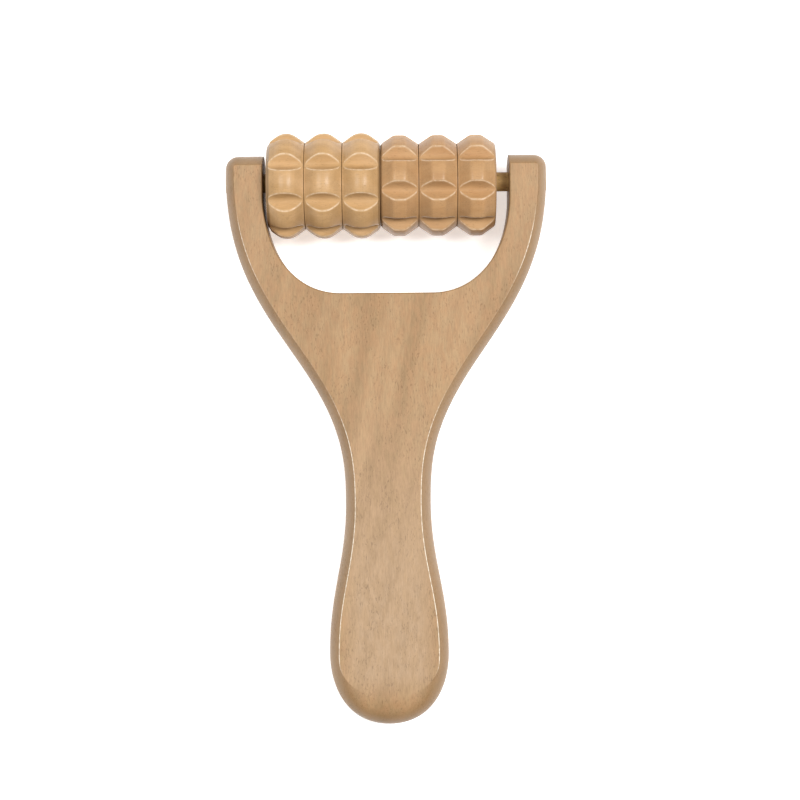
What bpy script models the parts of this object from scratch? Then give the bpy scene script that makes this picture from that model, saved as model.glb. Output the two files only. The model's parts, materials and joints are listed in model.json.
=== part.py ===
"""Wooden roller massager: a flat forked handle that carries two fluted rollers on one dowel.

Every piece is modelled in the fork's own frame, whose origin is the middle of the dowel: +X
along the dowel, +Y away from the handle's butt, +Z out of the fork's broad face. One empty
holds all of them and lays the tool down on the table plane z = 0, on its rollers and butt.
"""
import math

import bpy
import bmesh
from mathutils import Matrix, Vector

MM = 0.001
GAP = 0.3 * MM                     # clearance between pieces that fit each other
MERGE = 0.00001                    # welding distance of modifiers

# Fork
FORK_WIDTH = 83 * MM               # across the two arms
FORK_THICKNESS = 14 * MM
ARM_TOP = 6.9 * MM                 # end of the arms beyond the dowel
CORNER_RADIUS = 3.3 * MM           # outer corner of an arm's end
SIDE_BAND = 2.55 * MM              # how far the rounded side reaches in on the broad face
ARM_END_BAND = 2.9 * MM            # the same on the arms' ends
BUTT_BAND = 7.0 * MM               # the same at the butt, where the round is complete
BUTT_START = -124 * MM             # where the side's round begins to widen towards the butt
BAND_RINGS = 4
OUTLINE_STEPS = 11                 # points on each curve of the outline
CORNER_STEPS = 4

# Points of the outline's right half, each with its direction of travel and its two handles
SHOULDER = (41.5 * MM, 1.5 * MM)
FLANK = (23.1 * MM, -46.2 * MM)
WAIST = (11.0 * MM, -82.9 * MM)
GRIP = (15.4 * MM, -121.7 * MM)
BUTT_END = -140.25 * MM
FLANK_ANGLE = 0.6                  # slope of the outline at the flank, from the handle's axis
SHOULDER_HANDLE, FLANK_HANDLES = 22.5 * MM, (16.0 * MM, 19.5 * MM)
WAIST_HANDLES, GRIP_HANDLES = (12.0 * MM, 15.3 * MM), (16.2 * MM, 10.4 * MM)
BUTT_HANDLE = 10.1 * MM

# Throat between the arms
THROAT_HALF = 31.65 * MM
THROAT_STRAIGHT = -4.0 * MM        # the arms' inner faces are straight down to here
THROAT_SIDE_HANDLE = 12.5 * MM
THROAT_FLOOR = -28.9 * MM
THROAT_FLOOR_HALF = 11.8 * MM      # half of the throat's flat floor
THROAT_FLOOR_HANDLE = 12.8 * MM
THROAT_STEPS = 14

# Dowel
DOWEL_RADIUS = 2.5 * MM
DOWEL_LENGTH = FORK_WIDTH - 0.6 * MM
DOWEL_CHAMFER = 0.3 * MM
ROUND_STEPS = 32

# Rollers
BEADS = 3
FLUTES = 8
CREST_WIDTH = 2.9 * MM
BEAD_DROP = 2.3 * MM
SHOULDER_WIDTH = 0.2 * MM          # narrow flat at the foot of a bead
KERF_WIDTH = 0.3 * MM
KERF_DEPTH = 0.4 * MM
BORE_RADIUS = 3.6 * MM
ROLLER_SAG = 0.8 * MM              # how far the loose rollers sit off the dowel's centre line
ROLLER_STEPS = 48
FLUTE_DEPTH = 2.2 * MM             # from a bead's crest to the bottom of the groove
FLUTE_SLOPE = 1.35                 # rise of a groove's walls for each unit across it
FLUTE_ROUND = 1.5 * MM             # how softly the two walls meet at the bottom
FLUTE_REACH = 3.2 * MM             # half width of its cutter, which stands clear of the crests
FLUTE_STEPS = 13
LEFT_RADIUS, RIGHT_RADIUS = 13.6 * MM, 13.1 * MM
LEFT_LENGTH, RIGHT_LENGTH = 28.7 * MM, 29.3 * MM
LEFT_MIDDLE, RIGHT_MIDDLE = -16.05 * MM, 13.35 * MM
LEFT_CHAMFERS = (0.8 * MM, 0.3 * MM)         # on the end rims, the one at -X first
RIGHT_CHAMFERS = (0.3 * MM, 0.3 * MM)
LEFT_PHASE, RIGHT_PHASE = -1.1, 11.0         # degrees from +Z toward +Y of one rib's middle

# How the tool lies: the rollers and the handle's butt both touch the table
REST_SPAN = 131 * MM               # from the rollers' axis to the butt's line of contact
TILT = math.asin((LEFT_RADIUS - FORK_THICKNESS / 2) / REST_SPAN)


def clear_scene():
    for item in list(bpy.data.objects):
        bpy.data.objects.remove(item, do_unlink=True)


def make_collection(name):
    collection = bpy.data.collections.new(name)
    bpy.context.scene.collection.children.link(collection)
    return collection


def make_material(name, colour, roughness):
    material = bpy.data.materials.new(name)
    material.use_nodes = True
    shader = material.node_tree.nodes["Principled BSDF"]
    shader.inputs["Base Color"].default_value = (*colour, 1)
    shader.inputs["Roughness"].default_value = roughness
    shader.inputs["Metallic"].default_value = 0
    return material


def link(name, mesh, collection, material=None):
    item = bpy.data.objects.new(name, mesh)
    collection.objects.link(item)
    if material:
        mesh.materials.append(material)
    return item


def shade_round(item, degrees=35):
    item.data.shade_smooth()
    item.data.set_sharp_from_angle(angle=math.radians(degrees))


def hide_cutter(item):
    item.hide_render = True
    item.display_type = 'WIRE'


def add_cut(item, cutter):
    cut = item.modifiers.new("cut_" + cutter.name, 'BOOLEAN')
    cut.operation = 'DIFFERENCE'
    cut.solver = 'EXACT'
    cut.object = cutter


def curve_points(start, start_handle, end_handle, end, steps):
    """Points of one cubic curve, without its first point."""
    points = []
    for step in range(1, steps + 1):
        t = step / steps
        u = 1 - t
        points.append(u ** 3 * start + 3 * u * u * t * start_handle
                      + 3 * u * t * t * end_handle + t ** 3 * end)
    return points


def corner_points():
    """The arm's rounded outer corner, from its flat end to its side."""
    centre = Vector((FORK_WIDTH / 2 - CORNER_RADIUS, ARM_TOP - CORNER_RADIUS))
    points = []
    for step in range(CORNER_STEPS + 1):
        angle = math.pi / 2 * (1 - step / CORNER_STEPS)
        points.append(centre + CORNER_RADIUS * Vector((math.cos(angle), math.sin(angle))))
    return points


def outline_half():
    """The fork's right outline, from the middle of its top to the middle of its butt."""
    down = Vector((0, -1))
    slope = Vector((-math.sin(FLANK_ANGLE), -math.cos(FLANK_ANGLE)))
    shoulder, flank, waist, grip = Vector(SHOULDER), Vector(FLANK), Vector(WAIST), Vector(GRIP)
    butt = Vector((0, BUTT_END))
    spans = [
        (shoulder, shoulder + SHOULDER_HANDLE * down, flank - FLANK_HANDLES[0] * slope, flank),
        (flank, flank + FLANK_HANDLES[1] * slope, waist - WAIST_HANDLES[0] * down, waist),
        (waist, waist + WAIST_HANDLES[1] * down, grip - GRIP_HANDLES[0] * down, grip),
        (grip, grip + GRIP_HANDLES[1] * down, butt + Vector((BUTT_HANDLE, 0)), butt),
    ]
    points = [Vector((0, ARM_TOP))] + corner_points() + [shoulder]
    for span in spans:
        points += curve_points(*span, OUTLINE_STEPS)
    return points


def smooth_ramp(value, low, high):
    t = min(max((value - low) / (high - low), 0), 1)
    return t * t * (3 - 2 * t)


def band_width(point):
    """How far the rounded side reaches in at this place of the outline."""
    width = ARM_END_BAND + (SIDE_BAND - ARM_END_BAND) * smooth_ramp(
        ARM_TOP - point.y, 0, CORNER_RADIUS)
    return width + (BUTT_BAND - SIDE_BAND) * smooth_ramp(-point.y, -BUTT_START, -BUTT_END)


def inward_normals(points):
    """Unit normals that point into a closed outline drawn clockwise."""
    normals = []
    for index, point in enumerate(points):
        before, after = points[index - 1], points[(index + 1) % len(points)]
        normal = Vector((0, 0))
        for edge in (point - before, after - point):
            normal += Vector((edge.y, -edge.x)).normalized()
        normals.append(normal.normalized())
    return normals


def fork_half_mesh():
    """The fork's blank above its middle plane: rings that step in along the rounded side."""
    right = outline_half()
    left = [Vector((-p.x, p.y)) for p in reversed(right[1:-1])]
    points = right + left
    normals = inward_normals(points)
    half = FORK_THICKNESS / 2
    mesh = bmesh.new()
    rings = []
    for ring in range(BAND_RINGS + 1):
        verts = []
        for point, normal in zip(points, normals):
            width = band_width(point)
            spread = 2 * math.atan(width / half)
            radius = half / math.sin(spread)
            angle = spread * ring / BAND_RINGS
            place = point + normal * radius * (1 - math.cos(angle))
            verts.append(mesh.verts.new((place.x, place.y, radius * math.sin(angle))))
        rings.append(verts)
    for low, high in zip(rings, rings[1:]):
        for i in range(len(low)):
            j = (i + 1) % len(low)
            mesh.faces.new((low[j], low[i], high[i], high[j]))
    mesh.faces.new(list(reversed(rings[-1])))
    data = bpy.data.meshes.new("fork_handle")
    mesh.to_mesh(data)
    mesh.free()
    return data


def prism_mesh(name, outlines, low, high):
    """One straight prism along Z for each flat outline."""
    mesh = bmesh.new()
    for outline in outlines:
        face = mesh.faces.new([mesh.verts.new((p.x, p.y, low)) for p in outline])
        raised = bmesh.ops.extrude_face_region(mesh, geom=[face])
        lifted = [v for v in raised["geom"] if isinstance(v, bmesh.types.BMVert)]
        bmesh.ops.translate(mesh, verts=lifted, vec=(0, 0, high - low))
    bmesh.ops.recalc_face_normals(mesh, faces=mesh.faces)
    data = bpy.data.meshes.new(name)
    mesh.to_mesh(data)
    mesh.free()
    return data


def throat_cutter(collection):
    """A straight prism of the throat's shape, open past the arms' ends."""
    side, floor = THROAT_HALF, THROAT_FLOOR
    bend = curve_points(
        Vector((side, THROAT_STRAIGHT)), Vector((side, THROAT_STRAIGHT - THROAT_SIDE_HANDLE)),
        Vector((THROAT_FLOOR_HALF + THROAT_FLOOR_HANDLE, floor)),
        Vector((THROAT_FLOOR_HALF, floor)), THROAT_STEPS)
    right = [Vector((side, 2 * ARM_TOP)), Vector((side, THROAT_STRAIGHT))] + bend
    outline = right + [Vector((-p.x, p.y)) for p in reversed(right)]
    mesh = prism_mesh("throat_cutter", [outline], -FORK_THICKNESS, FORK_THICKNESS)
    cutter = link("throat_cutter", mesh, collection)
    hide_cutter(cutter)
    return cutter


def rod_mesh(name, radius, length, steps):
    """A cylinder along X, centred on the origin."""
    mesh = bmesh.new()
    bmesh.ops.create_cone(mesh, cap_ends=True, segments=steps, radius1=radius, radius2=radius,
                          depth=length, matrix=Matrix.Rotation(math.pi / 2, 4, 'Y'))
    data = bpy.data.meshes.new(name)
    mesh.to_mesh(data)
    mesh.free()
    return data


def make_fork(parts, cutters, material):
    fork = link("fork_handle", fork_half_mesh(), parts, material)
    mirror = fork.modifiers.new("both_faces", 'MIRROR')
    mirror.use_axis = (False, False, True)
    mirror.merge_threshold = MERGE
    add_cut(fork, throat_cutter(cutters))
    hole = link("dowel_hole_cutter",
                rod_mesh("dowel_hole_cutter", DOWEL_RADIUS + GAP, 2 * FORK_WIDTH, ROUND_STEPS),
                cutters)
    hide_cutter(hole)
    add_cut(fork, hole)
    shade_round(fork)
    return fork


def make_dowel(parts, material):
    mesh = rod_mesh("axle_dowel", DOWEL_RADIUS, DOWEL_LENGTH, ROUND_STEPS)
    dowel = link("axle_dowel", mesh, parts, material)
    chamfer = dowel.modifiers.new("chamfer", 'BEVEL')
    chamfer.width = DOWEL_CHAMFER
    chamfer.segments = 1
    chamfer.limit_method = 'ANGLE'
    chamfer.angle_limit = math.radians(60)
    shade_round(dowel)
    return dowel


def roller_profile(length, radius, chamfers):
    """(place along the axis, radius) down the outside from one end, then back up the bore."""
    pitch = length / BEADS
    foot = radius - BEAD_DROP
    outside = []
    for bead in range(BEADS):
        middle = length / 2 - pitch * (bead + 0.5)
        for side in (1, -1):
            last = (bead == 0 and side == 1) or (bead == BEADS - 1 and side == -1)
            crest = (middle + side * CREST_WIDTH / 2, radius)
            if last:
                chamfer = chamfers[1] if side == 1 else chamfers[0]
                run = [(middle + side * pitch / 2, foot - chamfer),
                       (middle + side * (pitch / 2 - chamfer), foot), crest]
            else:
                edge = pitch / 2 - KERF_WIDTH / 2
                run = [(middle + side * edge, foot),
                       (middle + side * (edge - SHOULDER_WIDTH), foot), crest]
            outside += run if side == 1 else list(reversed(run))
        if bead < BEADS - 1:
            outside.append((middle - pitch / 2, foot - KERF_DEPTH))
    return outside + [(-length / 2, BORE_RADIUS), (length / 2, BORE_RADIUS)]


def flute_section(radius):
    """A V groove's outline with a rounded bottom, open outwards along +X."""
    section = []
    for step in range(FLUTE_STEPS + 1):
        aside = FLUTE_REACH * (2 * step / FLUTE_STEPS - 1)
        rise = math.hypot(FLUTE_SLOPE * aside, FLUTE_ROUND) - FLUTE_ROUND
        section.append(Vector((radius - FLUTE_DEPTH + rise, aside)))
    return section


def flute_cutter(name, length, radius, cutters):
    """Eight straight bars, one in each flute, round the roller's own axis Z."""
    section = flute_section(radius)
    outlines = []
    for flute in range(FLUTES):
        turn = Matrix.Rotation(2 * math.pi * (flute + 0.5) / FLUTES, 2)
        outlines.append([turn @ corner for corner in section])
    mesh = prism_mesh(name, outlines, -length, length)
    cutter = link(name, mesh, cutters)
    hide_cutter(cutter)
    return cutter


def make_roller(name, length, radius, chamfers, middle, phase, parts, cutters, material):
    """A turned roller of three beads with eight flutes, its origin on its own axis."""
    mesh = bmesh.new()
    points = roller_profile(length, radius, chamfers)
    profile = [mesh.verts.new((r, 0, along)) for along, r in points]
    for index, vert in enumerate(profile):
        mesh.edges.new((vert, profile[(index + 1) % len(profile)]))
    data = bpy.data.meshes.new(name)
    mesh.to_mesh(data)
    mesh.free()
    roller = link(name, data, parts, material)
    turn = roller.modifiers.new("turning", 'SCREW')
    turn.axis = 'Z'
    turn.steps = turn.render_steps = ROLLER_STEPS
    turn.use_merge_vertices = True
    turn.merge_threshold = MERGE
    turn.use_normal_calculate = True
    rib_up = Matrix.Rotation(-math.radians(phase), 4, 'X')
    lying = Matrix.Rotation(math.pi / 2, 4, 'Y')
    cutter = flute_cutter(name + "_flutes", length, radius, cutters)
    for item in (roller, cutter):
        item.matrix_basis = Matrix.Translation((middle, -ROLLER_SAG, 0)) @ rib_up @ lying
    add_cut(roller, cutter)
    shade_round(roller)
    return roller, cutter


def lay_on_table(rig, parts):
    """Tilt the tool onto its rollers and butt, with its box centred over the origin."""
    rig.rotation_euler = (TILT, 0, 0)
    graph = bpy.context.evaluated_depsgraph_get()
    graph.update()
    corners = []
    for item in parts.objects:
        shape = item.evaluated_get(graph)
        corners += [shape.matrix_world @ vertex.co for vertex in shape.data.vertices]
    low = [min(corner[axis] for corner in corners) for axis in range(3)]
    high = [max(corner[axis] for corner in corners) for axis in range(3)]
    rig.location = (-(low[0] + high[0]) / 2, -(low[1] + high[1]) / 2, -low[2])


def main():
    clear_scene()
    parts = make_collection("roller_massager")
    cutters = make_collection("cutters")
    fork_wood = make_material("fork_wood", (0.57, 0.37, 0.22), 0.45)
    dowel_wood = make_material("dowel_wood", (0.27, 0.15, 0.07), 0.6)
    left_wood = make_material("left_roller_wood", (0.68, 0.43, 0.22), 0.4)
    right_wood = make_material("right_roller_wood", (0.62, 0.36, 0.18), 0.4)
    rig = bpy.data.objects.new("tool_frame", None)
    bpy.context.scene.collection.objects.link(rig)
    pieces = [make_fork(parts, cutters, fork_wood), make_dowel(parts, dowel_wood)]
    pieces += make_roller("left_roller", LEFT_LENGTH, LEFT_RADIUS, LEFT_CHAMFERS, LEFT_MIDDLE,
                          LEFT_PHASE, parts, cutters, left_wood)
    pieces += make_roller("right_roller", RIGHT_LENGTH, RIGHT_RADIUS, RIGHT_CHAMFERS,
                          RIGHT_MIDDLE, RIGHT_PHASE, parts, cutters, right_wood)
    for item in pieces + list(cutters.objects):
        item.parent = rig
    lay_on_table(rig, parts)


main()
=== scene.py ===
"""Roller massager: its visible pieces, their woods and the studio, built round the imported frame."""
import json
import math

import bmesh
import bpy
import numpy as np
from bpy.props import (FloatProperty, FloatVectorProperty, IntProperty, PointerProperty)
from mathutils import Matrix, Vector


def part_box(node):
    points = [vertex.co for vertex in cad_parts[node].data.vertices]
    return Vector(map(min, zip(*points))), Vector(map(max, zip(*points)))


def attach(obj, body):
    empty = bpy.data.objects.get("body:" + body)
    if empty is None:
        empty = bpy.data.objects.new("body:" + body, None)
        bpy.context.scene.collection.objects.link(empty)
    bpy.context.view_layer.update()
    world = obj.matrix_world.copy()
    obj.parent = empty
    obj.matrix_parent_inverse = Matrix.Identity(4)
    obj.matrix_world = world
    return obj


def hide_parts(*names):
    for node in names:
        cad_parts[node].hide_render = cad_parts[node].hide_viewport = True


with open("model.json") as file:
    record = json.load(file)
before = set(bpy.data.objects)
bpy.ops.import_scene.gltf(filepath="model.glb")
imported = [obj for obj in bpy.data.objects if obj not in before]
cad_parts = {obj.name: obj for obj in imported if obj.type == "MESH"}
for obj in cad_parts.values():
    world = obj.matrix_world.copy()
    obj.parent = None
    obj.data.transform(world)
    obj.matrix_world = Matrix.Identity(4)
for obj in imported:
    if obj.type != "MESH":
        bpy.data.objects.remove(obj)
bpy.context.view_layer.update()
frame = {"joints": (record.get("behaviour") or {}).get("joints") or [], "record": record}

bl_info = {
    "name": "Wooden Roller Massager",
    "version": (1, 0, 0),
    "blender": (4, 5, 0),
    "location": "View3D > Sidebar > Massager",
    "description": "Makes a forked wooden massager with two fluted rollers on a dowel",
    "category": "Add Mesh",
}

MM = 0.001
WELD = 0.002 * MM                  # points closer than this are one

# Edges turned more than this are drawn sharp
CREASE_SHARP = math.radians(11)
DOWEL_SHARP = math.radians(30)
ROLLER_SHARP = math.radians(50)

# The woods. Their lengths are plain millimetres in the piece's own frame
FIGURE_SLANT = math.radians(14)    # the broad figure of the wood leans this much off the grain
PITH_ASIDE, PITH_BELOW = 46.0, 58.0                      # where the tree's pith lay
FORK_RINGS, ROLLER_RINGS, DOWEL_RINGS = 5.2, 3.4, 2.2    # spacing of the year rings
PALE_START, PALE_FULL = 40.0, 112.0    # the handle grows paler between these, below the dowel
PALE_FADE, PALE_END = 126.0, 135.0     # and loses it between these, before the butt
PALE_MIDDLE, PALE_SIDE = 7.0, 14.5     # and between these, towards its sides
END_GRAIN = (0.45, 0.98)           # share of the normal along the grain, on a side and on an end
ROUND_SIDE = (0.75, 0.97)          # share of the normal across the board, on a side and on a flat
FORK_SEED, DOWEL_SEED, CREASE_SEED = 2.0, 9.0, 41.0
EDGE_HIGHLIGHT_COLOUR = (0.92, 0.78, 0.58)     # colour of the painted highlight along the rollers' flute edges

# Anchors and handles of the fork's right outline, in the tool's own frame
SHOULDER, FLANK = np.array((41.5, 1.5)) * MM, np.array((23.1, -46.2)) * MM
WAIST, GRIP = np.array((11.0, -82.9)) * MM, np.array((15.4, -121.7)) * MM
BUTT, BUTT_START = np.array((0.0, -140.25)) * MM, -124 * MM
FLANK_ANGLE = 0.6                  # how far the flank turns off the handle's line, in radians
SHOULDER_HANDLE, FLANK_HANDLES = 22.5 * MM, (16.0 * MM, 19.5 * MM)
WAIST_HANDLES, GRIP_HANDLES, BUTT_HANDLE = (12.0 * MM, 15.3 * MM), (16.2 * MM, 10.4 * MM), 10.1 * MM
CORNER_POINTS, OUTLINE_STEPS, THROAT_STEPS = 9, (44, 36, 32, 30), 48

# The painted highlight along the fork's crease: a pale line standing in for the side lamps' glint on
# it
LINE_START, LINE_FULL = 6 * MM, 19 * MM    # it comes up from one to the other, below the dowel
LINE_FADE, LINE_END = -BUTT_START - 2 * MM, -BUTT_START + 4.5 * MM    # and goes before the butt
LINE_FAINT, LINE_ALONG = 0.12, (0.86, 0.99)    # faint where the outline turns off the handle's line

# The throat: straight inner faces, one curve on each side, and a flat floor
THROAT_HALF, THROAT_STRAIGHT, THROAT_SIDE_HANDLE = 31.65 * MM, -4.0 * MM, 12.5 * MM
THROAT_FLOOR, THROAT_FLOOR_HALF, THROAT_FLOOR_HANDLE = -28.9 * MM, 11.8 * MM, 12.8 * MM

# Where the camera stands in the tool's own frame, and its small roll
CAMERA_PLACE = Vector((3.2, -56.4, 500.0)) * MM
CAMERA_ROLL = math.radians(-0.42)
VIEW_WIDTH = 207.5 * MM            # what the view takes in at the fork's middle plane
SENSOR = 36.0                      # width of the camera's sensor, in plain millimetres

# The rollers' meshes, and what differs between the two besides their radius and colours
ROWS, COLUMNS, END_ROWS = 241, 320, 3.0    # points along, points round, rows that close an end
FLUTE_SHARE = 0.55                 # share of a sector's columns that line the flute
LEAST_FLUTE = 0.15 * MM            # smallest half width of a flute that keeps its columns apart
END_SWELL = 0.3 * MM               # the rollers' ends nearly meet, closer than their solids
ROLLERS = {
    "left": {"crest_round": 1.5 * MM, "chamfers": (0.8 * MM, 0.45 * MM),
             "rib_turn": math.radians(-1.1), "seed": 21.0},
    "right": {"crest_round": 0.6 * MM, "chamfers": (0.45 * MM, 0.3 * MM),
              "rib_turn": math.radians(11.0), "seed": 34.0},
}

# Each softbox's name, place, width and length, and power; both aim near the tool's middle
LIGHTS_AIM = Vector((0.0, 0.0, 0.01))
LIGHTS = (
    ("right_light", Vector((0.48, 0.1, 0.95)), (0.24, 0.5), 8.9),
    ("left_light", Vector((-0.42, 0.1, 0.95)), (0.4, 0.5), 5.5),
)


# ---------------------------------------------------------------- node trees

class Field:
    """A socket of a node tree. Arithmetic on it adds Math nodes to its tree."""

    def __init__(self, graph, socket):
        self.graph = graph
        self.socket = socket

    def math(self, operation, *others):
        return self.graph.number(operation, self, *others)

    def __add__(self, other):
        return self.math('ADD', other)

    def __radd__(self, other):
        return self.math('ADD', other)

    def __sub__(self, other):
        return self.math('SUBTRACT', other)

    def __rsub__(self, other):
        return self.graph.number('SUBTRACT', other, self)

    def __mul__(self, other):
        return self.math('MULTIPLY', other)

    def __rmul__(self, other):
        return self.math('MULTIPLY', other)

    def __truediv__(self, other):
        return self.math('DIVIDE', other)

    def __rtruediv__(self, other):
        return self.graph.number('DIVIDE', other, self)

    def __neg__(self):
        return self.math('MULTIPLY', -1.0)

    def __abs__(self):
        return self.math('ABSOLUTE')

    def ramp(self, low, high):
        """0 below low, 1 above high and a smooth rise between them."""
        settings = {"interpolation_type": 'SMOOTHSTEP'}
        return self.graph.add("ShaderNodeMapRange", settings,
                              {"Value": self, "From Min": low, "From Max": high})


class Graph:
    """Adds nodes to one node tree."""

    def __init__(self, tree):
        self.tree = tree

    def node(self, kind, settings=None, values=None):
        node = self.tree.nodes.new(kind)
        for key, value in (settings or {}).items():
            setattr(node, key, value)
        for key, value in (values or {}).items():
            if isinstance(value, Field):
                self.tree.links.new(value.socket, node.inputs[key])
            else:
                node.inputs[key].default_value = value
        return node

    def add(self, kind, settings=None, values=None, output=0):
        return Field(self, self.node(kind, settings, values).outputs[output])

    def number(self, operation, *values):
        return self.add("ShaderNodeMath", {"operation": operation}, dict(enumerate(values)))

    def mask(self, name):
        """A number stored on the mesh's points."""
        return self.add("ShaderNodeAttribute", {"attribute_name": name}, None, "Fac")

    def blend(self, factor, first, second):
        """Mixes two colours."""
        first, second = (value if isinstance(value, Field) else (*value, 1.0)
                         for value in (first, second))
        return self.add("ShaderNodeMix", {"data_type": 'RGBA', "blend_type": 'MIX'},
                        {0: factor, 6: first, 7: second}, 2)

    def tint(self, colour, amount):
        """A colour scaled by a number that varies."""
        return self.add("ShaderNodeVectorMath", {"operation": 'SCALE'},
                        {0: colour, "Scale": amount})


# ---------------------------------------------------------------- shared helpers

def tool_matrix():
    """The tool's own frame: +X along the dowel, +Y towards the rollers, +Z out of the fork."""
    low, high = (Vector(corner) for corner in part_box("axle_dowel"))
    face = next(m for m in frame["record"]["mounts"] if m["name"] == "front_flat")
    lean = math.atan2(-face["axis"][1], face["axis"][2])
    return Matrix.Translation((low + high) / 2) @ Matrix.Rotation(lean, 4, 'X')


def link(name, mesh):
    piece = bpy.data.objects.new(name, mesh)
    bpy.context.scene.collection.objects.link(piece)
    return piece


def mesh_from(name, builder):
    """Runs builder on an empty bmesh and returns the mesh."""
    work = bmesh.new()
    builder(work)
    mesh = bpy.data.meshes.new(name)
    work.to_mesh(mesh)
    work.free()
    return mesh


def add_boolean(piece, cutter):
    """Cuts one closed mesh out of another."""
    cut = piece.modifiers.new("cut", 'BOOLEAN')
    cut.operation = 'DIFFERENCE'
    cut.solver = 'EXACT'
    cut.object = cutter


def freeze(piece, name, place):
    """Turns a piece with modifiers into a plain mesh object with its place in its mesh."""
    graph = bpy.context.evaluated_depsgraph_get()
    mesh = bpy.data.meshes.new_from_object(piece.evaluated_get(graph))
    mesh.transform(place)
    work = bmesh.new()
    work.from_mesh(mesh)
    bmesh.ops.remove_doubles(work, verts=work.verts, dist=WELD)
    bmesh.ops.recalc_face_normals(work, faces=work.faces)
    work.to_mesh(mesh)
    work.free()
    mesh.name = name
    bpy.data.objects.remove(piece, do_unlink=True)
    return link(name, mesh)


def smooth_ramp(value, low, high):
    """0 below low, 1 above high and a smooth rise between them, on an array."""
    t = np.clip((value - low) / (high - low), 0, 1)
    return t * t * (3 - 2 * t)


def curve(start, start_handle, end_handle, end, steps):
    """Points along one cubic curve, without its first point."""
    t = np.linspace(0, 1, steps + 1)[1:, None]
    u = 1 - t
    return (u ** 3 * start + 3 * u * u * t * start_handle
            + 3 * u * t * t * end_handle + t ** 3 * end)


def mirrored(right):
    """A closed outline from its right half, whose first and last points may lie on the axis."""
    left = right[::-1] * (-1, 1)
    left = left[(left[:, 0] < -WELD)]
    return np.vstack([right, left])


def normals_of(outline, inwards):
    """Unit normals of a closed clockwise outline."""
    edges = np.roll(outline, -1, axis=0) - outline
    edges /= np.linalg.norm(edges, axis=1)[:, None]
    both = edges + np.roll(edges, 1, axis=0)
    both /= np.linalg.norm(both, axis=1)[:, None]
    turned = np.column_stack([both[:, 1], -both[:, 0]])
    return turned if inwards else -turned


def loft(work, rings, cap_first=False, cap_last=True):
    """Quads between rings of points, with flat caps where asked."""
    rows = [[work.verts.new(point) for point in ring] for ring in rings]
    count = len(rows[0])
    for low, high in zip(rows, rows[1:]):
        for i in range(count):
            j = (i + 1) % count
            work.faces.new((low[j], low[i], high[i], high[j]))
    if cap_first:
        work.faces.new(rows[0])
    if cap_last:
        work.faces.new(rows[-1][::-1])


# ---------------------------------------------------------------- settings

def length(name, description, default):
    return FloatProperty(name=name, description=description, default=default,
                         min=0.0, precision=5, unit='LENGTH', subtype='DISTANCE')


def colour(name, description, default):
    return FloatVectorProperty(name=name, description=description, default=default,
                               size=3, min=0.0, max=1.0, subtype='COLOR')


class ForkSettings(bpy.types.PropertyGroup):
    thickness: length("Thickness", "Thickness of the board", 14 * MM)
    arm_top: length("Arm Top", "How far the arms reach past the dowel", 6.9 * MM)
    corner: length("Corner Radius", "Outer corner of an arm's end", 3.3 * MM)
    side_band: length("Side Band", "Width of the rounded side seen from the front", 2.55 * MM)
    end_band: length("Arm End Band", "Width of the round on the arms' ends", 2.9 * MM)
    butt_band: length("Butt Band", "Width of the round at the butt", 7.0 * MM)
    crease: length("Crease Softness", "Half width of the softened crease", 0.16 * MM)
    throat_break: length("Throat Break", "Radius of the sanded edges of the throat", 0.4 * MM)
    wood_pale: colour("Pale Wood", "Colour of the paler figure", (0.42, 0.268, 0.139))
    wood_dark: colour("Dark Wood", "Colour of the darker figure", (0.335, 0.207, 0.101))
    wood_pink: colour("Pink Wood", "Colour of the warmer flecks", (0.415, 0.23, 0.112))
    wood_pale_zone: colour("Pale Zone Wood", "Colour of the handle's paler end", (0.45, 0.305, 0.185))
    # Painted shade: a deep tone for the rounded sides, standing in for the shade they turn into
    painted_side_shade: colour("Side", "Deep tone blended into the rounded sides", (0.20, 0.10, 0.02))
    # Painted highlight: the colour of the pale line along the crease
    painted_crease_highlight: colour("Edge", "Colour of the pale line along the crease", (0.9, 0.8, 0.65))


class DowelSettings(bpy.types.PropertyGroup):
    radius: length("Radius", "Radius of the dowel", 2.5 * MM)
    wood: colour("Wood", "Main colour of the dowel's wood", (0.60, 0.375, 0.14))
    wood_dark: colour("Dark Wood", "Colour of its darker figure", (0.40, 0.22, 0.08))


class RollerSettings(bpy.types.PropertyGroup):
    beads: IntProperty(name="Beads", description="Beads on one roller", default=3, min=1)
    flutes: IntProperty(name="Flutes", description="Grooves round one roller", default=8, min=3)
    crest: length("Crest Width", "Width of a bead's crest", 2.9 * MM)
    drop: length("Bead Drop", "Height of a bead over its foot", 2.3 * MM)
    kerf_width: length("Kerf Width", "Width of the cut between two beads", 0.22 * MM)
    kerf_depth: length("Kerf Depth", "Depth of the cut between two beads", 0.3 * MM)
    flute_depth: length("Flute Depth", "Depth of a groove below the crest", 2.2 * MM)
    flute_slope: FloatProperty(name="Flute Slope", description="Steepness of a groove's walls",
                               default=1.8, min=0.2)
    flute_round: length("Flute Round", "How softly a groove's walls meet", 3.5 * MM)
    edge_wear: length("Edge Wear", "How far the grooves' edges are worn round", 0.36 * MM)
    bore: length("Bore Radius", "Radius of the hole for the dowel", 3.6 * MM)
    left_radius: length("Left Radius", "Radius over the left roller's crests", 13.6 * MM)
    right_radius: length("Right Radius", "Radius over the right roller's crests", 13.1 * MM)
    left_wood: colour("Left Wood", "Main colour of the left roller", (0.55, 0.342, 0.168))
    left_dark: colour("Left Dark Wood", "Darker figure of the left roller", (0.45, 0.26, 0.102))
    right_wood: colour("Right Wood", "Main colour of the right roller", (0.485, 0.287, 0.136))
    right_dark: colour("Right Dark Wood", "Darker figure of the right roller",
                       (0.41, 0.214, 0.088))


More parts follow.
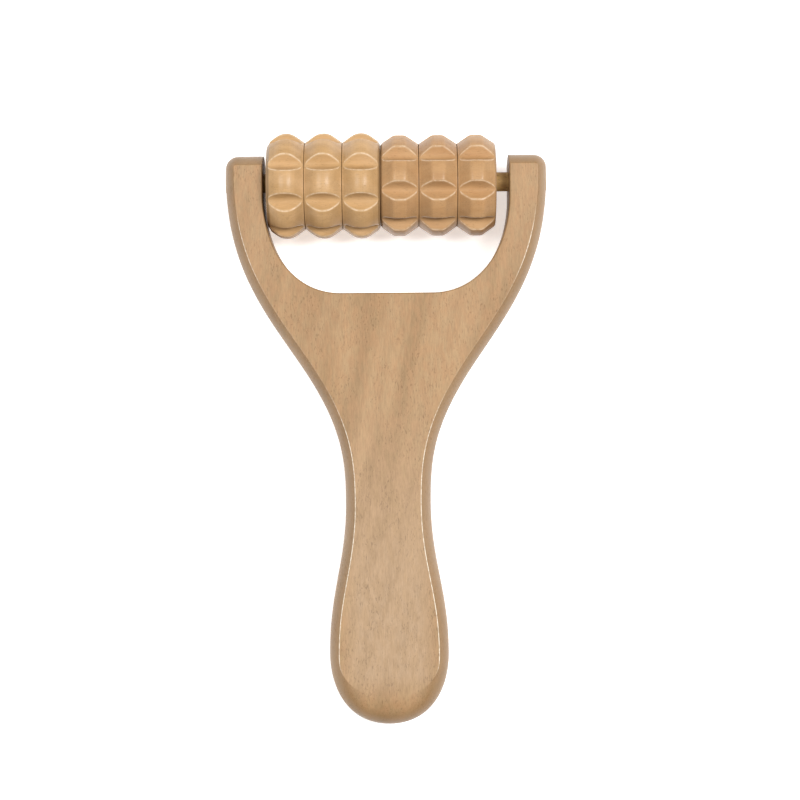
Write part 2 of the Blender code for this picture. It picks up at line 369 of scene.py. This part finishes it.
class StudioSettings(bpy.types.PropertyGroup):
    floor_size: length("Floor Size", "Width of the floor", 6.0)
    floor_colour: colour("Floor", "Colour of the floor", (0.93, 0.93, 0.93))
    floor_glow: FloatProperty(name="Floor Glow", description="Light from the floor itself",
                              default=0.5, min=0.0)
    sky: FloatProperty(name="Sky", description="Strength of the even light", default=0.24)


# ---------------------------------------------------------------- woods

def grain_coordinates(graph, place, along):
    """Object coordinates in the piece's own frame, in millimetres, with the grain along Y."""
    turn = Matrix.Identity(4) if along == 'Y' else Matrix.Rotation(math.pi / 2, 4, 'Z')
    inverse = turn @ place.inverted()
    own = graph.node("ShaderNodeTexCoord").outputs["Object"]
    scale = 1 / MM
    return graph.add("ShaderNodeMapping", {"vector_type": 'POINT'}, {
        "Vector": Field(graph, own),
        "Location": inverse.translation * scale,
        "Rotation": inverse.to_euler(),
        "Scale": (scale, scale, scale)})


def noise(graph, coordinates, across, along, detail=3.0, rough=0.5, seed=0.0, warp=0.0):
    """Noise whose cells are across millimetres wide and along millimetres long, grain on Y."""
    stretched = graph.add("ShaderNodeMapping", {"vector_type": 'POINT'}, {
        "Vector": coordinates, "Location": (seed, seed * 1.7, seed * 0.6),
        "Scale": (1 / across, 1 / along, 1 / across)})
    return graph.add("ShaderNodeTexNoise", {"noise_dimensions": '3D'}, {
        "Vector": stretched, "Scale": 1.0, "Detail": detail, "Roughness": rough,
        "Distortion": warp})


def wood_pattern(graph, coordinates, seed, ring_width):
    """The masks of a plain hardwood, each about 0 to 1: figure, rings, mottle, fibres, pores."""
    slanted = graph.add("ShaderNodeMapping", {"vector_type": 'POINT'},
                        {"Vector": coordinates, "Rotation": (0.0, 0.0, FIGURE_SLANT)})
    figure = noise(graph, slanted, 7.0, 42.0, 2.0, 0.5, seed).ramp(0.36, 0.66)
    parts = graph.node("ShaderNodeSeparateXYZ", None, {"Vector": slanted})
    x, z = Field(graph, parts.outputs[0]), Field(graph, parts.outputs[2])
    sway = noise(graph, coordinates, 26.0, 95.0, 1.0, 0.4, seed + 3.1) * 14.0
    pith = (x + PITH_ASIDE) * (x + PITH_ASIDE) + (z + PITH_BELOW) * (z + PITH_BELOW)
    phase = (pith.math('SQRT') + sway) * (2 * math.pi / ring_width)
    rings = phase.math('SINE') * 0.5 + 0.5
    mottle = noise(graph, coordinates, 1.7, 4.5, 3.0, 0.6, seed + 5.9).ramp(0.36, 0.64)
    fibres = noise(graph, coordinates, 0.34, 2.4, 3.0, 0.7, seed + 7.7)
    flecks = noise(graph, coordinates, 0.26, 0.9, 1.0, 0.5, seed + 12.3)
    patches = noise(graph, coordinates, 4.0, 6.0, 2.0, 0.5, seed + 17.9)
    pores = flecks.ramp(0.6, 0.68) * patches.ramp(0.3, 0.6)
    return figure, rings, mottle, fibres, pores


def facing(graph, place, direction, span):
    """0 to 1 as the share of the surface's normal along a direction of the tool crosses a span."""
    turned = place.to_3x3() @ Vector(direction)
    normal = Field(graph, graph.node("ShaderNodeTexCoord").outputs["Normal"])
    dot = graph.node("ShaderNodeVectorMath", {"operation": 'DOT_PRODUCT'},
                     {0: normal, 1: tuple(turned)})
    return abs(Field(graph, dot.outputs["Value"])).ramp(*span)


def new_material(name):
    material = bpy.data.materials.new(name)
    material.use_nodes = True
    material.node_tree.nodes.clear()
    return material, Graph(material.node_tree)


def finish_wood(graph, base, roughness, height, coat, depth=0.05):
    """The wood's surface, lacquered as far as its coat says, with a fine bump."""
    bump = graph.add("ShaderNodeBump", None, {
        "Strength": 0.35, "Distance": depth * MM, "Height": height})
    shader = graph.add("ShaderNodeBsdfPrincipled", None, {
        "Base Color": base, "Roughness": roughness, "Normal": bump,
        "Coat Weight": coat, "Coat Roughness": 0.2, "IOR": 1.5,
        "Specular IOR Level": 0.22})
    graph.node("ShaderNodeOutputMaterial", None, {"Surface": shader})


def fork_wood(settings, place):
    """Pale satin hardwood with its grain along the handle, paler and pinker towards the butt, with
    painted shade on its rounded sides and a painted highlight along its crease.
    """
    material, graph = new_material("fork_wood")
    where = grain_coordinates(graph, place, 'Y')
    figure, rings, mottle, fibres, pores = wood_pattern(graph, where, FORK_SEED, FORK_RINGS)
    parts = graph.node("ShaderNodeSeparateXYZ", None, {"Vector": where})
    x, y = Field(graph, parts.outputs[0]), Field(graph, parts.outputs[1])
    # Paler zone down the middle of the handle, fading towards its sides and before the butt
    pale_zone = (-y).ramp(PALE_START, PALE_FULL) * (1.0 - (-y).ramp(PALE_FADE, PALE_END)) * (
        1.0 - abs(x).ramp(PALE_MIDDLE, PALE_SIDE))
    pale_zone = pale_zone * (mottle * 0.3 + 0.7)
    base = graph.blend(figure, tuple(settings.wood_dark), tuple(settings.wood_pale))
    base = graph.blend(mottle * 0.5, base, tuple(settings.wood_pink))
    base = graph.blend(pale_zone, base, tuple(settings.wood_pale_zone))
    tone = 1.0 + (rings - 0.5) * 0.06 + (fibres - 0.5) * 0.6 - pores * 0.24
    tone = tone * (1.0 - facing(graph, place, (0, 1, 0), END_GRAIN) * 0.1)
    base = graph.tint(base, tone)
    # Painted shade: as the rounded sides turn away from the flat they are blended towards a deep
    # tone, standing in for their shade
    sides = 1.0 - facing(graph, place, (0, 0, 1), ROUND_SIDE)
    base = graph.blend(sides * 0.42, base, tuple(settings.painted_side_shade))
    # Painted highlight: a pale, broken line along the crease, with more coat and less roughness,
    # standing in for the lamps' glint
    broken = noise(graph, where, 0.5, 0.7, 1.0, 0.5, CREASE_SEED).ramp(0.35, 0.6) * 0.55 + 0.45
    line = graph.mask("crease") * broken
    base = graph.blend(line, base, tuple(settings.painted_crease_highlight))
    roughness = 0.42 + (fibres - 0.5) * 0.3 + pores * 0.2 - line * 0.2
    height = fibres * 0.4 - pores * 0.8
    finish_wood(graph, base, roughness, height, line * 0.6 + 0.05)
    return material


def roller_wood(name, wood, dark, place, seed):
    """Turned hardwood: grain along the axle, tool marks round it, a painted highlight along the
    flutes' edges, darker kerfs, and end faces darkened as end grain and as painted shade.
    """
    material, graph = new_material(name)
    where = grain_coordinates(graph, place, 'X')
    figure, rings, mottle, fibres, pores = wood_pattern(graph, where, seed, ROLLER_RINGS)
    edge_highlight, kerf_dark, fluted = (graph.mask(mask) for mask in ("edge_highlight", "kerf_dark", "fluted"))
    parts = graph.node("ShaderNodeSeparateXYZ", None, {"Vector": where})
    along = Field(graph, parts.outputs[1])
    marks = graph.add("ShaderNodeTexNoise", {"noise_dimensions": '1D'},
                      {"W": along, "Scale": 2.6, "Detail": 2.0, "Roughness": 0.6})
    marks = (marks - 0.5) * (1.0 - fluted)
    base = graph.blend(figure * 0.4 + mottle * 0.25 + 0.35, dark, wood)
    # Darker and rougher in the kerfs between the beads
    tone = (1.0 + (rings - 0.5) * 0.06 + (fibres - 0.5) * 0.3 - pores * 0.14
            + marks * 0.12 - kerf_dark * 0.15)
    # End faces darker: partly their end grain, partly painted shade standing in for the dark gaps
    # between the rollers and beside the arms
    ends = facing(graph, place, (1, 0, 0), END_GRAIN)
    tone = tone * (1.0 - ends * 0.45)
    base = graph.tint(base, tone)
    broken = noise(graph, where, 0.9, 0.9, 1.0, 0.5, seed + 7.0).ramp(0.3, 0.65)
    # Painted highlight: the flutes' worn edges are blended towards a pale colour and get more coat
    # and less roughness, standing in for the lamps' glints
    base = graph.blend(edge_highlight * (broken * 0.6 + 0.4) * 0.45, base, EDGE_HIGHLIGHT_COLOUR)
    roughness = 0.4 + (fibres - 0.5) * 0.15 + pores * 0.15 + kerf_dark * 0.25
    roughness = roughness + fluted * 0.15 - edge_highlight * 0.1
    height = fibres * 0.3 - pores * 0.6 + marks * 0.5
    coat = (1.0 - fluted) * 0.12 + edge_highlight * 0.5
    finish_wood(graph, base, roughness, height, coat, 0.08)
    return material


def dowel_wood(settings, place):
    """Bare dowel, rougher than the turned pieces and without lacquer."""
    material, graph = new_material("dowel_wood")
    where = grain_coordinates(graph, place, 'X')
    figure, rings, mottle, fibres, pores = wood_pattern(graph, where, DOWEL_SEED, DOWEL_RINGS)
    base = graph.blend((figure + mottle) * 0.5, tuple(settings.wood_dark), tuple(settings.wood))
    tone = 1.0 + (rings - 0.5) * 0.12 + (fibres - 0.5) * 0.35 - pores * 0.3
    tone = tone * (1.0 - facing(graph, place, (1, 0, 0), END_GRAIN) * 0.2)
    base = graph.tint(base, tone)
    roughness = 0.58 + (fibres - 0.5) * 0.2
    finish_wood(graph, base, roughness, fibres * 0.5 - pores * 0.6, 0.0, 0.06)
    return material


# ---------------------------------------------------------------- fork

def fork_outline(settings):
    """The fork's closed outline, clockwise from the middle of its top."""
    corner, top = settings.corner, settings.arm_top
    side = SHOULDER[0]
    turn = np.linspace(math.pi / 2, 0, CORNER_POINTS)[:, None]
    rounded = (side - corner, top - corner) + corner * np.hstack([np.cos(turn), np.sin(turn)])
    down = np.array((0.0, -1.0))
    slope = np.array((-math.sin(FLANK_ANGLE), -math.cos(FLANK_ANGLE)))
    straight = np.column_stack([np.full(4, side), np.linspace(top - corner, SHOULDER[1], 5)[1:]])
    right = np.vstack([
        [(0.0, top), (side * 0.4, top), (side * 0.7, top), (side * 0.85, top)], rounded, straight,
        curve(SHOULDER, SHOULDER + SHOULDER_HANDLE * down, FLANK - FLANK_HANDLES[0] * slope,
              FLANK, OUTLINE_STEPS[0]),
        curve(FLANK, FLANK + FLANK_HANDLES[1] * slope, WAIST - WAIST_HANDLES[0] * down,
              WAIST, OUTLINE_STEPS[1]),
        curve(WAIST, WAIST + WAIST_HANDLES[1] * down, GRIP - GRIP_HANDLES[0] * down,
              GRIP, OUTLINE_STEPS[2]),
        curve(GRIP, GRIP + GRIP_HANDLES[1] * down, BUTT + (BUTT_HANDLE, 0),
              BUTT, OUTLINE_STEPS[3])])
    return mirrored(right)


def band_width(settings, outline):
    """How far the rounded side reaches in at each point of the outline."""
    below = settings.arm_top - outline[:, 1]
    width = settings.end_band + (settings.side_band - settings.end_band) * smooth_ramp(
        below, 0, settings.corner)
    round_over = smooth_ramp(-outline[:, 1], -BUTT_START, -BUTT[1])
    return width + (settings.butt_band - settings.side_band) * round_over


def fork_rings(settings, arc_rings=12, crease_rings=3, margin=0.12 * MM):
    """Rings from the middle plane up the arc, over the softened crease, onto the flat, and the
    strength of the painted crease highlight at each of their points.
    """
    outline = fork_outline(settings)
    inward = normals_of(outline, True)
    half = settings.thickness / 2
    width = band_width(settings, outline)
    spread = 2 * np.arctan(width / half)
    radius = half / np.sin(spread)
    soft = settings.crease
    steps = []
    shares = [ring / arc_rings for ring in range(arc_rings)]
    for share in (*shares, 1 - 0.4 / arc_rings, 1.0):
        angle = (spread - soft / radius) * share
        steps.append((radius * (1 - np.cos(angle)), radius * np.sin(angle)))
    start_in, start_up = steps[-1]
    for ring in range(1, crease_rings + 1):
        t = ring / crease_rings
        step_in = (1 - t) ** 2 * start_in + 2 * t * (1 - t) * width + t * t * (width + soft)
        step_up = (1 - t) ** 2 * start_up + (1 - (1 - t) ** 2) * half
        steps.append((step_in, step_up))
    steps.append((width + soft + margin, np.full(len(width), half)))
    rings = []
    for step_in, step_up in steps:
        flat = outline + inward * np.asarray(step_in)[:, None]
        rings.append(np.column_stack([flat, step_up]))
    # Painted highlight: full on the crease's middle rings, strongest where the outline runs along the
    # handle, faint where it turns off it and at both ends
    on_crease = [0.0] * (len(steps) - crease_rings - 1) + [1.0, 1.0, 0.0, 0.0]
    highlight_strength = 1 - smooth_ramp(-outline[:, 1], LINE_FADE, LINE_END)
    highlight_strength *= LINE_FAINT + (1 - LINE_FAINT) * smooth_ramp(np.abs(inward[:, 0]), *LINE_ALONG)
    highlight_strength *= smooth_ramp(-outline[:, 1], LINE_START, LINE_FULL)
    return rings, np.concatenate([mark * highlight_strength for mark in on_crease])


def fork_blank(settings):
    """The upper half of the board, with the crease marked for the painted highlight in its wood."""
    rings, marks = fork_rings(settings)
    mesh = mesh_from("fork_blank", lambda work: loft(work, rings))
    crease = mesh.attributes.new("crease", 'FLOAT', 'POINT')
    crease.data.foreach_set("value", marks.astype(np.float32))
    return link("fork_blank", mesh)


def throat_rings(settings):
    """Rings of the throat's cutter, flared at both faces so that its edges come out broken."""
    side = THROAT_HALF
    bend = curve(np.array((side, THROAT_STRAIGHT)),
                 np.array((side, THROAT_STRAIGHT - THROAT_SIDE_HANDLE)),
                 np.array((THROAT_FLOOR_HALF + THROAT_FLOOR_HANDLE, THROAT_FLOOR)),
                 np.array((THROAT_FLOOR_HALF, THROAT_FLOOR)), THROAT_STEPS)
    top = 3 * settings.arm_top
    right = np.vstack([[(side, top), (side, THROAT_STRAIGHT)], bend])
    outline = mirrored(right)
    outward = normals_of(outline, False)
    half, broken = settings.thickness / 2, settings.throat_break
    angles = np.radians((0, 22, 46, 70))
    flare = [(broken * (1 - math.cos(a)), half - broken + broken * math.sin(a)) for a in angles]
    last_out, last_up = flare[-1]
    reach = 2 * broken
    flare.append((last_out + reach * math.sin(angles[-1]), last_up + reach * math.cos(angles[-1])))
    flare.append((flare[-1][0], 2 * half))
    profile = [(out, -up) for out, up in reversed(flare)] + flare
    return [np.column_stack([outline + outward * out, np.full(len(outline), up)])
            for out, up in profile]


def rod(work, radius, length_, segments):
    bmesh.ops.create_cone(work, cap_ends=True, segments=segments, radius1=radius,
                          radius2=radius, depth=length_,
                          matrix=Matrix.Rotation(math.pi / 2, 4, 'Y'))


def throat_cutter(work, settings):
    loft(work, throat_rings(settings), cap_first=True)
    bmesh.ops.recalc_face_normals(work, faces=work.faces)


def make_fork(settings, dowel):
    """The forked handle: a rounded board with its throat and the dowel's holes cut out."""
    place = tool_matrix()
    blank = fork_blank(settings)
    mirror = blank.modifiers.new("faces", 'MIRROR')
    mirror.use_axis = (False, False, True)
    mirror.merge_threshold = WELD
    throat = link("throat", mesh_from("throat", lambda w: throat_cutter(w, settings)))
    hole = link("hole", mesh_from("hole", lambda w: rod(
        w, dowel.radius + 0.02 * MM, 2 * settings.side_band + 2 * SHOULDER[0], 96)))
    add_boolean(blank, throat)
    add_boolean(blank, hole)
    fork = freeze(blank, "fork", place)
    for cutter in (throat, hole):
        bpy.data.objects.remove(cutter, do_unlink=True)
    fork.data.materials.clear()
    fork.data.materials.append(fork_wood(settings, place))
    fork.data.shade_smooth()
    fork.data.set_sharp_from_angle(angle=CREASE_SHARP)
    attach(fork, "handle")
    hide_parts("fork_handle")


# ---------------------------------------------------------------- dowel

def dowel_rings(settings, fork, segments=96):
    """Rings from the middle of one sanded end, along the dowel, to the middle of the other."""
    half = fork.thickness / 2
    spread = 2 * math.atan(band_width(fork, np.array([(SHOULDER[0], 0.0)]))[0] / half)
    arc = half / math.sin(spread)
    turn = np.linspace(0, 2 * math.pi, segments, endpoint=False)
    ease = 0.12 * MM
    radii = [0.1 * MM, 0.8 * MM, 1.6 * MM, 2.1 * MM, settings.radius - ease]
    reach = SHOULDER[0]

    def ring(radius, side, inset=0.0):
        y, z = radius * np.cos(turn), radius * np.sin(turn)
        x = reach - (arc - np.sqrt(arc ** 2 - z ** 2)) - inset
        return np.column_stack([side * x, y, z])

    end = [ring(radius, 1) for radius in radii] + [ring(settings.radius, 1, ease)]
    start = [ring(radius, -1) for radius in radii] + [ring(settings.radius, -1, ease)]
    middle = []
    for along in np.linspace(-reach * 0.95, reach * 0.95, 60):
        wobble = 0.02 * MM * math.sin(along / MM * 0.31)
        radius = settings.radius - 0.02 * MM + wobble
        middle.append(np.column_stack([np.full(segments, along), radius * np.cos(turn),
                                       radius * np.sin(turn)]))
    return start + middle + end[::-1]


def dowel_body(work, settings, fork):
    loft(work, dowel_rings(settings, fork), cap_first=True)
    bmesh.ops.recalc_face_normals(work, faces=work.faces)


def make_dowel(settings, fork):
    """The dowel, its ends sanded flush with the arms' rounded sides."""
    place = tool_matrix()
    mesh = mesh_from("dowel", lambda w: dowel_body(w, settings, fork))
    mesh.transform(place)
    dowel = link("dowel", mesh)
    mesh.materials.append(dowel_wood(settings, place))
    mesh.shade_smooth()
    mesh.set_sharp_from_angle(angle=DOWEL_SHARP)
    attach(dowel, "handle")
    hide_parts("axle_dowel")


# ---------------------------------------------------------------- rollers

ROLLER_INPUTS = {
    "Length": 'NodeSocketFloat', "Radius": 'NodeSocketFloat', "Beads": 'NodeSocketInt',
    "Flutes": 'NodeSocketInt', "Crest Width": 'NodeSocketFloat', "Crest Round": 'NodeSocketFloat',
    "Bead Drop": 'NodeSocketFloat', "Kerf Width": 'NodeSocketFloat',
    "Kerf Depth": 'NodeSocketFloat', "Flute Depth": 'NodeSocketFloat',
    "Flute Slope": 'NodeSocketFloat', "Flute Round": 'NodeSocketFloat',
    "Edge Wear": 'NodeSocketFloat',
    "Left Chamfer": 'NodeSocketFloat', "Right Chamfer": 'NodeSocketFloat',
    "Bore Radius": 'NodeSocketFloat', "Rows": 'NodeSocketInt', "Columns": 'NodeSocketInt',
    "Wood": 'NodeSocketMaterial',
}


def roller_tree():
    """Geometry Nodes of one roller: a beaded profile turned round X and cut by soft V flutes."""
    tree = bpy.data.node_groups.new("fluted_roller", 'GeometryNodeTree')
    for name, kind in ROLLER_INPUTS.items():
        tree.interface.new_socket(name, in_out='INPUT', socket_type=kind)
    tree.interface.new_socket("Geometry", in_out='OUTPUT', socket_type='NodeSocketGeometry')
    graph = Graph(tree)
    group = graph.node("NodeGroupInput")
    given = {name: Field(graph, group.outputs[name]) for name in ROLLER_INPUTS}
    place = graph.node("ShaderNodeSeparateXYZ", None,
                       {"Vector": graph.add("GeometryNodeInputPosition")})
    over = Field(graph, place.outputs[0]) + 0.5
    round_share = Field(graph, place.outputs[1]) + 0.5
    along, turned, closing, kerf = roller_profile(given, over)
    turn, radius, masks = flute_surface(given, round_share, turned, kerf)
    radius = given["Bore Radius"] + (radius - given["Bore Radius"]) * closing
    skin = grid(graph, given["Rows"], given["Columns"])
    for name, value in masks.items():
        skin = graph.add("GeometryNodeStoreNamedAttribute",
                         {"data_type": 'FLOAT', "domain": 'POINT'},
                         {"Geometry": skin, "Name": name, "Value": value})
    skin = set_positions(graph, skin, (along, radius), turn)
    bore = ((over - 0.5) * given["Length"], given["Bore Radius"])
    tube = set_positions(graph, grid(graph, 2, given["Columns"]), bore, turn)
    joined = graph.node("GeometryNodeJoinGeometry")
    for part in (tube, skin):
        tree.links.new(part.socket, joined.inputs[0])
    shape = graph.add("GeometryNodeMergeByDistance", None,
                      {"Geometry": Field(graph, joined.outputs[0]), "Distance": WELD})
    shape = graph.add("GeometryNodeRealizeInstances", None, {"Geometry": shape})
    shape = graph.add("GeometryNodeSetMaterial", None,
                      {"Geometry": shape, "Material": given["Wood"]})
    graph.node("NodeGroupOutput", None, {"Geometry": shape})
    return tree


def grid(graph, rows, columns):
    """A unit grid; its two long edges meet once it is wrapped round."""
    return graph.add("GeometryNodeMeshGrid", None, {
        "Size X": 1.0, "Size Y": 1.0, "Vertices X": rows, "Vertices Y": columns + 1})


def set_positions(graph, mesh, body, turn):
    along, radius = body
    target = graph.add("ShaderNodeCombineXYZ", None, {
        "X": along, "Y": radius * turn.math('SINE'), "Z": radius * turn.math('COSINE')})
    return graph.add("GeometryNodeSetPosition", None, {"Geometry": mesh, "Position": target})


def roller_profile(given, over):
    """The turned profile at each grid point, and how far its row has closed over the end."""
    end_rows = END_ROWS / given["Rows"]
    outside = ((over - end_rows) / (1.0 - 2.0 * end_rows)).math('MINIMUM', 1.0)
    along = (outside.math('MAXIMUM', 0.0) - 0.5) * given["Length"]
    closing = (over.math('MINIMUM', 1.0 - over) / end_rows).math('MINIMUM', 1.0)

    pitch = given["Length"] / given["Beads"]
    beads = (along + given["Length"] / 2.0) / pitch
    from_middle = abs(beads.math('FRACT') - 0.5) * pitch
    to_joint = pitch / 2.0 - from_middle
    to_left, to_right = given["Length"] / 2.0 + along, given["Length"] / 2.0 - along
    slope = given["Bead Drop"] / (pitch / 2.0 - given["Crest Width"] / 2.0 - given["Kerf Width"])
    fall = (from_middle - given["Crest Width"] / 2.0) * slope
    fall = fall.math('SMOOTH_MAX', 0.0, given["Crest Round"])
    fall = fall.math('SMOOTH_MIN', given["Bead Drop"], 0.15 * MM)
    inner = to_left.math('MINIMUM', to_right).ramp(pitch * 0.2, pitch * 0.3)
    kerf = (1.0 - to_joint.ramp(given["Kerf Width"] * 0.2, given["Kerf Width"] * 0.6)) * inner
    rim = (given["Left Chamfer"] - to_left).math('MAXIMUM', given["Right Chamfer"] - to_right)
    rim = rim.math('SMOOTH_MAX', 0.0, 0.1 * MM)
    return along, given["Radius"] - fall - kerf * given["Kerf Depth"] - rim, closing, kerf


def flute_surface(given, round_share, turned, kerf):
    """Cuts soft V flutes: part of each sector's columns line the flute, the rest the rib."""
    sectors = round_share * given["Flutes"]
    offset = (sectors.math('FRACT') - 0.5) * 2.0
    side, share = offset.math('SIGN'), abs(offset)
    slope, soft = given["Flute Slope"], given["Flute Round"]
    bottom = given["Radius"] - given["Flute Depth"]
    root = bottom - soft
    stretch = 1.0 + 1.0 / (slope * slope)
    rest = root * root - soft * soft / (slope * slope) - turned * turned
    reach = ((root * root - stretch * rest).math('SQRT') - root) / stretch
    edge = (reach * reach - soft * soft).math('MAXIMUM', 0.0).math('SQRT') / slope
    edge = edge.math('MAXIMUM', LEAST_FLUTE)

    inside = 1.0 - (share / FLUTE_SHARE).math('MINIMUM', 1.0)
    aside = edge * (1.0 - inside * inside)
    depth = root + (aside * aside * slope * slope + soft * soft).math('SQRT')
    flute_angle = aside.math('ARCTAN2', depth)
    over_rib = ((share - FLUTE_SHARE) / (1.0 - FLUTE_SHARE)).math('MAXIMUM', 0.0)
    half_sector = math.pi / given["Flutes"]
    across = (half_sector - flute_angle) * over_rib * over_rib
    on_rib = over_rib.math('GREATER_THAN', 0.0)
    lined = (depth * depth + aside * aside).math('SQRT').math('MINIMUM', turned)
    radius = lined + (turned - lined) * on_rib

    cut = (turned - bottom).ramp(0.0, 0.4 * MM)
    from_edge = (edge - aside) * 1.5 + across * turned
    near_edge = (1.0 - from_edge / given["Edge Wear"]).math('MAXIMUM', 0.0) * cut
    worn = near_edge * near_edge * given["Edge Wear"] * 0.35
    angle = flute_angle + across + worn / turned
    turn = (sectors.math('FLOOR') + 0.5) * half_sector * 2.0 + side * angle
    # The first mask marks the painted highlight along the flutes' edges; the second marks the kerfs
    # between the beads, which the wood darkens
    masks = {
        "edge_highlight": near_edge * (1.0 - kerf),
        "kerf_dark": kerf,
        "fluted": (1.0 - on_rib) * cut,
    }
    return turn, radius - worn, masks


def make_roller(side, tree, settings):
    """One roller on its hinge's axis, one of its ribs rib_turn away from straight up."""
    name, own = side + "_roller", ROLLERS[side]
    low, high = (Vector(corner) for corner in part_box(name))
    joint = next(j for j in frame["joints"] if j["child"] == name)
    place = (Matrix.Translation(joint["pos_m"]) @ tool_matrix().to_3x3().to_4x4()
             @ Matrix.Rotation(-own["rib_turn"], 4, 'X'))
    wood, dark = (tuple(getattr(settings, side + tone)) for tone in ("_wood", "_dark"))
    material = roller_wood(name + "_wood", wood, dark, place, own["seed"])
    values = {
        "Length": high.x - low.x + END_SWELL, "Radius": getattr(settings, side + "_radius"),
        "Beads": settings.beads, "Flutes": settings.flutes, "Crest Width": settings.crest,
        "Crest Round": own["crest_round"], "Bead Drop": settings.drop,
        "Kerf Width": settings.kerf_width, "Kerf Depth": settings.kerf_depth,
        "Flute Depth": settings.flute_depth,
        "Flute Slope": settings.flute_slope, "Flute Round": settings.flute_round,
        "Edge Wear": settings.edge_wear, "Bore Radius": settings.bore,
        "Left Chamfer": own["chamfers"][0], "Right Chamfer": own["chamfers"][1],
        "Rows": ROWS, "Columns": COLUMNS, "Wood": material,
    }
    blank = link(name + "_blank", bpy.data.meshes.new(name + "_blank"))
    nodes = blank.modifiers.new("roller", 'NODES')
    nodes.node_group = tree
    for item in tree.interface.items_tree:
        if item.in_out == 'INPUT':
            nodes[item.identifier] = values[item.name]
    roller = freeze(blank, name + "_turned", place)
    roller.data.shade_smooth()
    roller.data.set_sharp_from_angle(angle=ROLLER_SHARP)
    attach(roller, name)
    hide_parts(name)
    name + "_wood"


# ---------------------------------------------------------------- studio

def add_softbox(name, place, size, power):
    data = bpy.data.lights.new(name, 'AREA')
    data.shape = 'RECTANGLE'
    data.size, data.size_y = size
    data.energy = power
    light = bpy.data.objects.new(name, data)
    bpy.context.scene.collection.objects.link(light)
    light.location = place
    light.rotation_euler = (LIGHTS_AIM - place).to_track_quat('-Z', 'Y').to_euler()


def make_floor(settings):
    half = settings.floor_size / 2
    mesh = mesh_from("floor", lambda w: bmesh.ops.create_grid(
        w, x_segments=8, y_segments=8, size=half))
    material, graph = new_material("floor_paper")
    shader = graph.add("ShaderNodeBsdfPrincipled", None, {
        "Base Color": (*settings.floor_colour, 1.0), "Roughness": 0.95,
        "Specular IOR Level": 0.1, "Emission Color": (1.0, 1.0, 1.0, 1.0),
        "Emission Strength": settings.floor_glow})
    graph.node("ShaderNodeOutputMaterial", None, {"Surface": shader})
    mesh.materials.append(material)
    floor = link("floor", mesh)


def make_sky(strength):
    world = bpy.data.worlds.new("studio")
    world.use_nodes = True
    world.node_tree.nodes.clear()
    graph = Graph(world.node_tree)
    light = graph.add("ShaderNodeBackground", None,
                      {"Color": (1.0, 1.0, 1.0, 1.0), "Strength": strength})
    graph.node("ShaderNodeOutputWorld", None, {"Surface": light})
    bpy.context.scene.world = world


def make_camera():
    """Looks square onto the fork's broad face."""
    data = bpy.data.cameras.new("camera")
    data.sensor_width = SENSOR
    data.lens = SENSOR * CAMERA_PLACE.z / VIEW_WIDTH
    camera = bpy.data.objects.new("camera", data)
    bpy.context.scene.collection.objects.link(camera)
    camera.matrix_world = (tool_matrix() @ Matrix.Translation(CAMERA_PLACE)
                           @ Matrix.Rotation(CAMERA_ROLL, 4, 'Z'))
    bpy.context.scene.camera = camera


# ---------------------------------------------------------------- add-on

class MASSAGER_OT_fork(bpy.types.Operator):
    """Make the forked handle"""
    bl_idname = "massager.fork"
    bl_label = "Make Fork"

    def execute(self, context):
        make_fork(context.scene.massager_fork, context.scene.massager_dowel)
        return {'FINISHED'}


class MASSAGER_OT_dowel(bpy.types.Operator):
    """Make the dowel that carries the rollers"""
    bl_idname = "massager.dowel"
    bl_label = "Make Dowel"

    def execute(self, context):
        make_dowel(context.scene.massager_dowel, context.scene.massager_fork)
        return {'FINISHED'}


class MASSAGER_OT_rollers(bpy.types.Operator):
    """Make the two fluted rollers"""
    bl_idname = "massager.rollers"
    bl_label = "Make Rollers"

    def execute(self, context):
        settings = context.scene.massager_rollers
        tree = roller_tree()
        for side in ROLLERS:
            make_roller(side, tree, settings)
        return {'FINISHED'}


class MASSAGER_OT_studio(bpy.types.Operator):
    """Make the floor, lights and camera"""
    bl_idname = "massager.studio"
    bl_label = "Make Studio"

    def execute(self, context):
        settings = context.scene.massager_studio
        make_floor(settings)
        make_sky(settings.sky)
        for light in LIGHTS:
            add_softbox(*light)
        make_camera()
        context.scene.view_settings.view_transform = 'Standard'
        return {'FINISHED'}


class MASSAGER_PT_panel(bpy.types.Panel):
    """Lists the sizes, the colours and the steps"""
    bl_idname = "MASSAGER_PT_panel"
    bl_label = "Roller Massager"
    bl_space_type = 'VIEW_3D'
    bl_region_type = 'UI'
    bl_category = "Massager"

    def draw(self, context):
        for group, operator in STEPS:
            box = self.layout.box()
            settings = getattr(context.scene, group)
            for name in settings.bl_rna.properties.keys():
                if name not in {"rna_type", "name"}:
                    box.prop(settings, name)
            box.operator(operator)


STEPS = (
    ("massager_fork", "massager.fork"),
    ("massager_dowel", "massager.dowel"),
    ("massager_rollers", "massager.rollers"),
    ("massager_studio", "massager.studio"),
)
GROUPS = {
    "massager_fork": ForkSettings,
    "massager_dowel": DowelSettings,
    "massager_rollers": RollerSettings,
    "massager_studio": StudioSettings,
}
CLASSES = (*GROUPS.values(), MASSAGER_OT_fork, MASSAGER_OT_dowel, MASSAGER_OT_rollers,
           MASSAGER_OT_studio, MASSAGER_PT_panel)


def register():
    for item in CLASSES:
        bpy.utils.register_class(item)
    for name, group in GROUPS.items():
        setattr(bpy.types.Scene, name, PointerProperty(type=group))


def unregister():
    for name in GROUPS:
        delattr(bpy.types.Scene, name)
    for item in reversed(CLASSES):
        bpy.utils.unregister_class(item)


def main():
    register()
    bpy.ops.massager.fork()
    bpy.ops.massager.dowel()
    bpy.ops.massager.rollers()
    bpy.ops.massager.studio()


if __name__ == "__main__":
    main()
